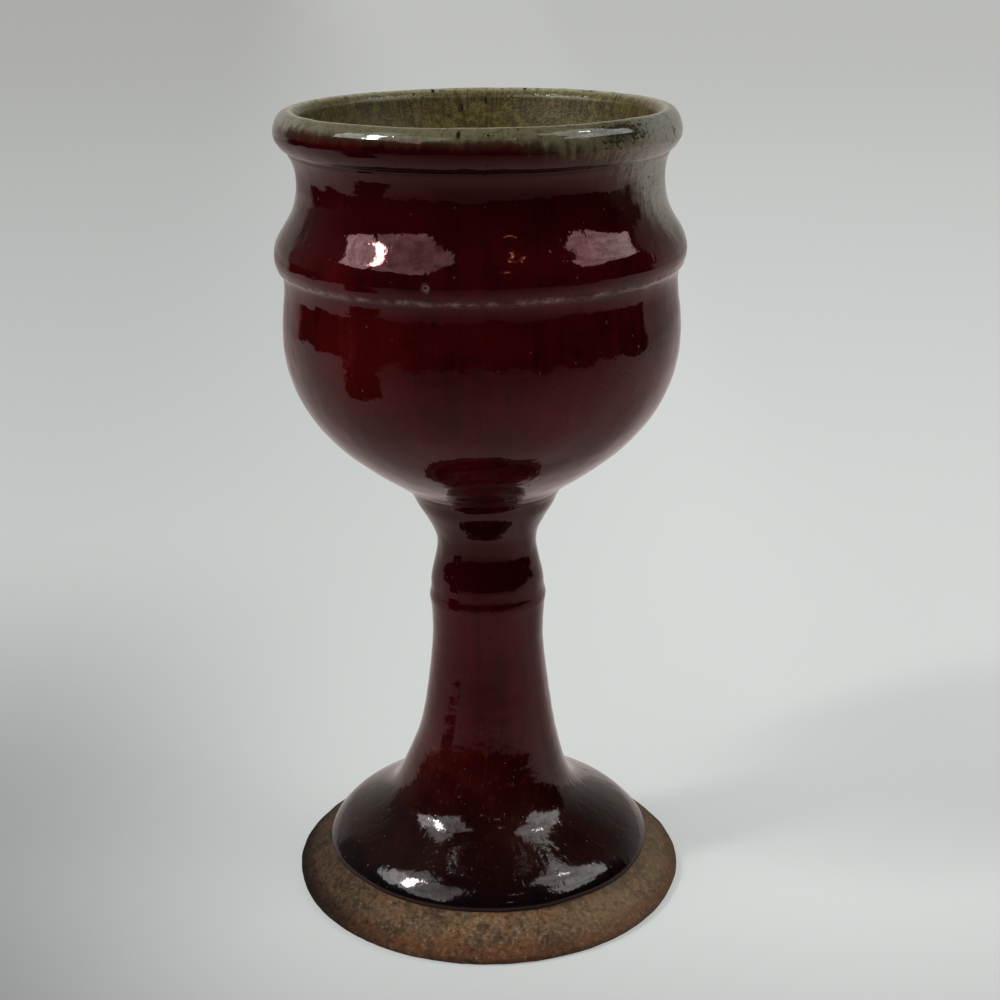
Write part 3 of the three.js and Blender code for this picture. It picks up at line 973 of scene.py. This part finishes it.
# The lining: from the red coat over the crest of the lip, down the inside to the middle of the floor, and
# back behind. It is glossy on the lip and satin below.
def makeLining():
    front = spread(lip, lining["lipRows"])
    line = np.concatenate([front, spread(inside, lining["rows"], lining["crowded"])[1:]])
    turn = turnsOf(lining["around"])
    crestGap = lengthAlong(front)[-1]
    flow = (crestGap - lengthAlong(line))[:, None]
    radius = line[:, :1] / mm
    turning = np.sin(2 * math.pi * (flow / mm / lining["turningPitch"] + turn))
    deep = ease(-flow / mm, *lining["turningFrom"]) * ease(radius, *lining["calmMiddle"])
    relief = wander(turn, line) + lining["turningHeight"] * turning * deep
    relief = relief * ease(radius, *lining["flatMiddle"])
    outerRadius, outerHeight = rings(line, rightOf(line), relief * mm)
    back = spread(np.concatenate([lip, inside[1:]]), lining["hiddenRows"])[::-1]
    innerRadius, innerHeight = rings(back, -rightOf(back), -lining["thickness"] * mm + 0 * turn)
    backFields = glazeFields(turn, (crestGap - lengthAlong(back[::-1])[::-1])[:, None])
    radius = np.concatenate([innerRadius, outerRadius])
    height = np.concatenate([innerHeight, outerHeight])
    fields = stackFields(backFields, innerRadius, glazeFields(turn, flow), outerRadius)
    piece = revolve("grey_green_glaze", radius, height, False, fields, greenMaterial)
    finishSatin(piece.data)
    return piece


foot = {
    "hollowRows": 56,
    "flangeRows": 62,
    "flangeCrowded": [(0.4, 1.0, 1.0)],
    "hiddenRows": 44,
    "hiddenFrom": 8.6,
    "capRows": 6,
    "around": 512,
    "inset": 1.1,
    "gap": 0.02,
    "clouds": [(170, 1.5, 0.05), (60, 4.0, 0.06), (13, 16.0, 0.12)],
    "turningPitch": 0.9,
    "turningHeight": 0.015,
    "hollowShare": 0.5,
    "fadeOut": (0.7, 0.4, 0.1),
    "rimSpan": (37.5, 41.2),
}

clayFace = outside - rightOf(outside) * foot["inset"] * mm  # The clay's own face behind the red coat


# The clay of the pedestal: from the closed tip of its hollow down to the foot ring, round the bare edge of
# the foot, up under the glaze and in to the axis below the joint. Its relief is the sum of clouds and turning
# rings, all sunk, and it fades out where the glaze takes over.
def makeFoot():
    hollow = spread(curveThrough(goblet["hollow"]), foot["hollowRows"])
    flange = spread(curveThrough(goblet["footEdge"]), foot["flangeRows"], foot["flangeCrowded"])
    top = (goblet["joint"] - goblet["slipHalf"] - foot["gap"]) * mm
    reach = (clayFace[:, 1] > foot["hiddenFrom"] * mm) & (clayFace[:, 1] < top)
    hidden = spread(clayFace[reach], foot["hiddenRows"])
    cap = spread(np.array([hidden[-1], [0.0, hidden[-1, 1]]]), foot["capRows"])
    line = np.concatenate([hollow, flange, hidden, cap[1:]])
    turn = turnsOf(foot["around"])
    along = lengthAlong(line)[:, None]
    end = len(hollow) + len(flange)
    shown = np.zeros((len(line), 1))
    shown[1 : len(hollow)] = foot["hollowShare"]
    shown[len(hollow) : end] = 1
    shown[end - 3 : end, 0] = foot["fadeOut"]
    relief = np.zeros((len(line), foot["around"]))
    for seed, shape in enumerate(foot["clouds"]):
        relief += risen(turn, along, shape, 80 + seed) - shape[-1]
    relief += foot["turningHeight"] * (np.sin(2 * math.pi * along / mm / foot["turningPitch"]) - 1)
    ringRadius, ringHeight = rings(line, rightOf(line), relief * shown * mm)
    fields = {"rim": ease(line[:, :1] / mm, *foot["rimSpan"])}
    return revolve("stem_stoneware", ringRadius, np.maximum(ringHeight, 0), False, fields, footMaterial)


# A plain turned piece of clay from its outline, which starts and ends on the axis.
def makeTurned(name, line, around):
    ringRadius, ringHeight = rings(line, rightOf(line), 0 * turnsOf(around))
    return revolve(name, ringRadius, ringHeight, False, {"rim": 0}, footMaterial)


bowlClay = {
    "baseRows": 6,
    "outerRows": 60,
    "innerRows": 70,
    "around": 256,
}


# The clay of the bowl, hidden between the two coats: out from the axis over the joint, up behind the red
# coat, over the rim and down behind the lining.
def makeBowlClay():
    base = (goblet["joint"] + goblet["slipHalf"] + foot["gap"]) * mm
    outer = clayFace[clayFace[:, 1] > base]
    over = np.concatenate([lip, inside[1:]])
    inner = over - rightOf(over) * (lining["thickness"] + foot["gap"]) * mm
    inner[-1, 0] = 0
    start = spread(np.array([[0.0, outer[0, 1]], outer[0]]), bowlClay["baseRows"])
    up = spread(outer, bowlClay["outerRows"])[1:]
    line = np.concatenate([start, up, spread(inner, bowlClay["innerRows"])])
    return makeTurned("bowl_stoneware", line, bowlClay["around"])


slip = {
    "edgeRows": 9,
    "faceRows": 8,
    "around": 128,
}


# The slip between pedestal and bowl: a thin disc with a rounded edge.
def makeSlip():
    half = goblet["slipHalf"] * mm
    middle = goblet["joint"] * mm
    edge = np.interp(middle, clayFace[:, 1], clayFace[:, 0]) - half
    angle = np.radians(np.linspace(-90, 90, slip["edgeRows"]))
    rim = np.stack([edge + half * np.cos(angle), middle + half * np.sin(angle)], 1)
    under = spread(np.array([[0.0, middle - half], rim[0]]), slip["faceRows"])
    over = spread(np.array([rim[-1], [0.0, middle + half]]), slip["faceRows"])
    return makeTurned("luting_slip", np.concatenate([under, rim[1:], over[1:]]), slip["around"])


for make, cadNode, slotName in (
    (makeRedCoat, "red_glaze", "copper_red_glaze"),
    (makeLining, "liner_glaze", "grey_green_glaze"),
    (makeFoot, "stem_clay", "stoneware_clay"),
    (makeBowlClay, "bowl_clay", "stoneware_clay"),
    (makeSlip, "joint_slip", "luting_slip"),
):
    piece = make()
    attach(piece, "root")
    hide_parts(cadNode)
print("pieces made")

# What the reflections see: the dark in front and to either side, with a faint glow at the left, and pale low
# walls behind. Azimuth is counted from the front, positive to the right.
surroundings = {
    "shownColour": (0.60, 0.61, 0.60),
    "softLight": (0.32, 0.325, 0.32),
    "mirroredWall": (0.41, 0.385, 0.36),
    "mirroredDark": (0.005, 0.004, 0.004),
    "leftGlow": (0.11, 0.10, 0.095),
    "leftGlowSpan": (-70, -118),
    "wallEdges": ((-127, -135), (109, 112)),
    "wallFade": (0.1, 0.85),
}


# The azimuth of a direction or a place: the angle whose tangent is x over -y.
def azimuthOf(tree, x, y):
    return maths(tree, "ARCTAN2", x, times(tree, y, -1.0))


# 1 where an azimuth lies in the pale part behind the goblet, past its left or its right edge. Each edge is a
# smooth step between two azimuths.
def behindShare(tree, azimuth, edges):
    left, right = (stepUp(tree, azimuth, math.radians(low), math.radians(high)) for low, high in edges)
    return maths(tree, "MAXIMUM", left, right)


table = {
    "half": 6.0,
    "colour": (0.60, 0.61, 0.585),
    "shownColour": (0.80, 0.81, 0.785),
    "shownGlow": (0.668, 0.679, 0.667),
    "glowShare": 0.62,
    "roughness": 0.6,
    "specular": 0.1,
    # From where to where a shade comes in, in metres across or along, and how dark it gets
    "leftShade": (0.16, -0.14, 0.20),
    "leftSlant": 0.12,
    "cornerAcross": (-0.02, -0.13),
    "cornerAlong": (0.22, -0.02, 0.29),
    "frontShade": (0.0, -0.09, 0.20),
    "nearShade": (1.2, 0.15, 0.10),
    "rightShade": (0.06, 0.13, 0.04),
    "mirroredLeft": (0.455, 0.375, 0.36),
    "mirroredRight": (0.61, 0.505, 0.49),
    "mirroredSpan": (-0.12, 0.12),
    "mirroredFade": (-0.08, -0.4, 0.5),
    "edgeDistance": 0.72,
    "edgeScallops": (300, 1.0),
    "scallopSpan": (0.42, 0.62, 0.2),
    "farEdges": ((-121, -129), (104, 107)),
    "farDistance": (0.6, 1.3),
    "farGlow": (0.455, 0.425, 0.40),
    # A notch at the left: its azimuths in degrees, its distance in metres, how soft it is in radians and in
    # metres, and the size of its wobble in millimetres with its reach in radians and in square metres
    "notchAzimuth": (-79, -56),
    "notchDistance": 0.225,
    "notchSoft": (0.02, 0.006),
    "notchWobble": (110, 0.35, 0.04),
}


# How dark the table is where it is seen directly: more towards the left, the front and the corner between
# them, and a little more near the goblet than far behind it.
def tableShade(tree, x, y):
    left = stepUp(tree, plus(tree, x, times(tree, y, table["leftSlant"])), *table["leftShade"])
    corner = times(tree, stepUp(tree, x, *table["cornerAcross"]), stepUp(tree, y, *table["cornerAlong"]))
    front = stepUp(tree, y, *table["frontShade"])
    near = stepUp(tree, y, *table["nearShade"])
    return plus(tree, left, corner, front, near, stepUp(tree, x, *table["rightShade"]))


# 1 where the reflections find the dark instead of the table: past its scalloped edge, and past a notch that
# lies between two azimuths. Distances are squared.
def pastEdge(tree, space, squared, azimuth):
    scallops = stepUp(tree, noise(tree, space, *table["edgeScallops"]), *table["scallopSpan"])
    beyond = maths(tree, "GREATER_THAN", plus(tree, squared, scallops), table["edgeDistance"] ** 2)
    wobbleSize, wobbleTurn, wobbleReach = table["notchWobble"]
    wobble = plus(tree, noise(tree, space, wobbleSize, 1.0), -0.5)
    wavy = plus(tree, azimuth, times(tree, wobble, wobbleTurn))
    low, high = (math.radians(edge) for edge in table["notchAzimuth"])
    softTurn, softReach = table["notchSoft"]
    past = stepUp(tree, wavy, low - softTurn, low + softTurn)
    notch = times(tree, past, stepUp(tree, wavy, high + softTurn, high - softTurn))
    distance = table["notchDistance"]
    reached = plus(tree, squared, times(tree, wobble, wobbleReach))
    near = stepUp(tree, reached, (distance - softReach) ** 2, (distance + softReach) ** 2)
    return maths(tree, "MAXIMUM", beyond, times(tree, notch, near))


def blendShader(tree, share, a, b):
    return node(tree, "MixShader", {0: share, 1: a.outputs[0], 2: b.outputs[0]})


def glowOf(tree, colour):
    return node(tree, "Emission", {"Color": (*colour, 1), "Strength": 1.0})


# A pale table. Seen directly it is paler than it is lit, darker towards the left, and it keeps the goblet's
# shadow. Past its front edge the reflections in the goblet find the dark instead.
def makeTable():
    half = table["half"]
    mesh = bpy.data.meshes.new("paleTable")
    corners = [(-half, -half, 0), (half, -half, 0), (half, half, 0), (-half, half, 0)]
    mesh.from_pydata(corners, [], [(0, 1, 2, 3)])
    piece = bpy.data.objects.new("paleTable", mesh)
    bpy.context.scene.collection.objects.link(piece)
    material, tree, shader = newMaterial("paleTable")
    space = node(tree, "TexCoord").outputs["Object"]
    x, y = node(tree, "SeparateXYZ", {0: space}).outputs[:2]
    path = node(tree, "LightPath").outputs
    shade = tableShade(tree, x, y)
    shown = blendColour(tree, shade, table["shownColour"], (0, 0, 0))
    rightwards = stepUp(tree, x, *table["mirroredSpan"])
    mirrored = blendColour(tree, rightwards, table["mirroredLeft"], table["mirroredRight"])
    mirrored = blendColour(tree, stepUp(tree, y, *table["mirroredFade"]), mirrored, (0, 0, 0))
    colour = blendColour(tree, path["Is Glossy Ray"], table["colour"], mirrored)
    colour = blendColour(tree, path["Is Camera Ray"], colour, shown)
    tree.links.new(colour, shader.inputs["Base Color"])
    shader.inputs["Roughness"].default_value = table["roughness"]
    shader.inputs["Specular IOR Level"].default_value = table["specular"]
    glow = node(tree, "Emission", {"Color": blendColour(tree, shade, table["shownGlow"], (0, 0, 0))})
    lit = blendShader(tree, times(tree, path["Is Camera Ray"], table["glowShare"]), shader, glow)
    squared = plus(tree, times(tree, x, x), times(tree, y, y))
    low, high = (distance**2 for distance in table["farDistance"])
    farShare = times(tree, stepUp(tree, squared, low, high), path["Is Glossy Ray"])
    lit = blendShader(tree, farShare, lit, glowOf(tree, table["farGlow"]))
    azimuth = azimuthOf(tree, x, y)
    front = maths(tree, "SUBTRACT", 1.0, behindShare(tree, azimuth, table["farEdges"]))
    hidden = times(tree, pastEdge(tree, space, squared, azimuth), front)
    hidden = times(tree, hidden, path["Is Glossy Ray"])
    mixed = blendShader(tree, hidden, lit, glowOf(tree, surroundings["mirroredDark"]))
    output = next(item for item in tree.nodes if item.type == "OUTPUT_MATERIAL")
    tree.links.new(mixed.outputs[0], output.inputs["Surface"])
    mesh.materials.append(material)


makeTable()

# Each light lies at an azimuth and an elevation from the goblet. Radiance is what its reflection shows.
lights = {
    "windowLeftFar": {"azimuth": (-93, -68), "elevation": (27, 47), "radiance": 6.6, "grain": 0.9},
    "windowLeftNear": {
        "azimuth": (-68, -28),
        "elevation": (27, 60),
        "radiance": 3.5,
        "grain": 1.0,
        "fade": 0.4,
    },
    "windowLeftHigh": {"azimuth": (-93, -68), "elevation": (47, 65), "radiance": 2.8, "grain": 0.8},
    "windowRight": {"azimuth": (57, 104), "elevation": (27, 46), "radiance": 4.8, "grain": 0.9},
    "windowRightHigh": {"azimuth": (57, 108), "elevation": (46, 67), "radiance": 3.4, "grain": 0.8},
    "brightLeft": {"azimuth": (-75, -64), "elevation": (35, 51), "radiance": 78.0, "curl": 0.37},
    "brightRight": {"azimuth": (84, 90), "elevation": (52, 57), "radiance": 60.0, "curl": 0.3},
    "lampLow": {"azimuth": (14, 19), "elevation": (33, 34), "radiance": 12.0, "colour": (1.0, 0.72, 0.42)},
    "lampHigh": {"azimuth": (22, 27), "elevation": (50, 51.2), "radiance": 14.0, "colour": (1.0, 0.72, 0.42)},
}
lighting = {
    "daylight": (0.93, 1.0, 1.0),
    "distance": 1.0,
    "aim": (0.0, 0.0, 0.10),
    "cloud": {"Scale": 4.0, "Detail": 3.0, "Roughness": 0.6},
    "cloudSpan": (0.3, 0.7),
    "fadeSpan": (0.15, 0.6),
    "fadeRagged": 0.2,
    "curlSwing": 0.22,
    "curlRagged": 0.06,
}


# The direction of an azimuth and an elevation, as seen from the goblet.
def towards(azimuth, elevation):
    a = math.radians(azimuth)
    e = math.radians(elevation)
    return np.array([math.sin(a) * math.cos(e), -math.cos(a) * math.cos(e), math.sin(e)])


# A light is cloudy by its grain and dims upwards by its fade, or it is cut to a curl: what lies within its
# reach of a line that swings once to either side, a sine of the height.
def shapeLight(data, light):
    data.use_nodes = True
    tree = data.node_tree
    tree.nodes.clear()
    place = node(tree, "NewGeometry").outputs["Parametric"]
    across, up = node(tree, "SeparateXYZ", {0: place}).outputs[:2]
    cloudNoise = node(tree, "TexNoise", {"Vector": place, **lighting["cloud"]}).outputs["Fac"]
    cloudy = stepUp(tree, cloudNoise, *lighting["cloudSpan"])
    grain = light.get("grain", 0.0)
    strength = plus(tree, 1 - grain * 0.5, times(tree, cloudy, grain))
    if "fade" in light:
        raised = plus(tree, up, times(tree, cloudy, lighting["fadeRagged"]))
        dimmed = stepUp(tree, raised, *lighting["fadeSpan"], light["fade"])
        strength = times(tree, strength, maths(tree, "SUBTRACT", 1.0, dimmed))
    if "curl" in light:
        swing = maths(tree, "SINE", times(tree, up, 2 * math.pi))
        line = plus(tree, 0.5, times(tree, swing, lighting["curlSwing"]))
        away = maths(tree, "ABSOLUTE", maths(tree, "SUBTRACT", across, line))
        ragged = lighting["curlRagged"]
        edge = plus(tree, light["curl"] - ragged, times(tree, cloudy, 2 * ragged))
        strength = times(tree, strength, maths(tree, "LESS_THAN", away, edge))
    emission = node(tree, "Emission", {"Strength": strength})
    node(tree, "OutputLight", {"Surface": emission.outputs[0]})


# A rectangle that spans its range of azimuth and elevation: 2 tan(half the angle) wide at a distance of 1.
def makeLights():
    distance = lighting["distance"]
    for name, light in lights.items():
        azimuth = sum(light["azimuth"]) / 2
        elevation = sum(light["elevation"]) / 2
        spanRound = math.radians(light["azimuth"][1] - light["azimuth"][0])
        spanUp = math.radians(light["elevation"][1] - light["elevation"][0])
        data = bpy.data.lights.new(name, "AREA")
        data.shape = "RECTANGLE"
        data.size = 2 * distance * math.tan(spanRound / 2) * math.cos(math.radians(elevation))
        data.size_y = 2 * distance * math.tan(spanUp / 2)
        data.energy = light["radiance"] * math.pi * data.size * data.size_y
        data.color = light.get("colour", lighting["daylight"])
        shapeLight(data, light)
        lamp = bpy.data.objects.new(name, data)
        bpy.context.scene.collection.objects.link(lamp)
        lamp.location = tuple(np.array(lighting["aim"]) + towards(azimuth, elevation) * distance)
        lamp.rotation_euler = (math.radians(90 - elevation), 0, math.radians(azimuth))


# The world lights softly from all round, and the camera and the reflections see it in their own colours.
def makeSurroundings():
    world = bpy.data.worlds.new("softSurroundings")
    bpy.context.scene.world = world
    world.use_nodes = True
    tree = world.node_tree
    tree.nodes.clear()
    path = node(tree, "LightPath").outputs
    direction = node(tree, "SeparateXYZ", {0: node(tree, "TexCoord").outputs["Generated"]}).outputs
    low = stepUp(tree, direction[2], surroundings["wallFade"][1], surroundings["wallFade"][0])
    azimuth = azimuthOf(tree, direction[0], direction[1])
    behind = behindShare(tree, azimuth, surroundings["wallEdges"])
    pale = times(tree, behind, low)
    fromDegrees, toDegrees = surroundings["leftGlowSpan"]
    glowing = stepUp(tree, azimuth, math.radians(fromDegrees), math.radians(toDegrees))
    dark = blendColour(tree, glowing, surroundings["mirroredDark"], surroundings["leftGlow"])
    mirrored = blendColour(tree, pale, dark, surroundings["mirroredWall"])
    colour = blendColour(tree, path["Is Glossy Ray"], surroundings["softLight"], mirrored)
    colour = blendColour(tree, path["Is Camera Ray"], colour, surroundings["shownColour"])
    background = node(tree, "Background", {"Color": colour, "Strength": 1.0})
    node(tree, "OutputWorld", {"Surface": background.outputs[0]})


makeLights()
makeSurroundings()

view = {
    "place": (0.0027, -0.3378, 0.2002),
    "pitchDown": 18.98,
    "roll": 0.06,
    "lens": 62.4,
    "sensor": 36.0,
    "nearest": 0.01,
}


def makeCamera():
    data = bpy.data.cameras.new("photographAngle")
    data.lens = view["lens"]
    data.sensor_width = view["sensor"]
    data.clip_start = view["nearest"]
    camera = bpy.data.objects.new("photographAngle", data)
    camera.location = view["place"]
    camera.rotation_euler = (math.radians(90 - view["pitchDown"]), math.radians(view["roll"]), 0)
    bpy.context.scene.collection.objects.link(camera)
    bpy.context.scene.camera = camera


makeCamera()
bpy.context.scene.view_settings.view_transform = "Standard"
print("light and camera made")
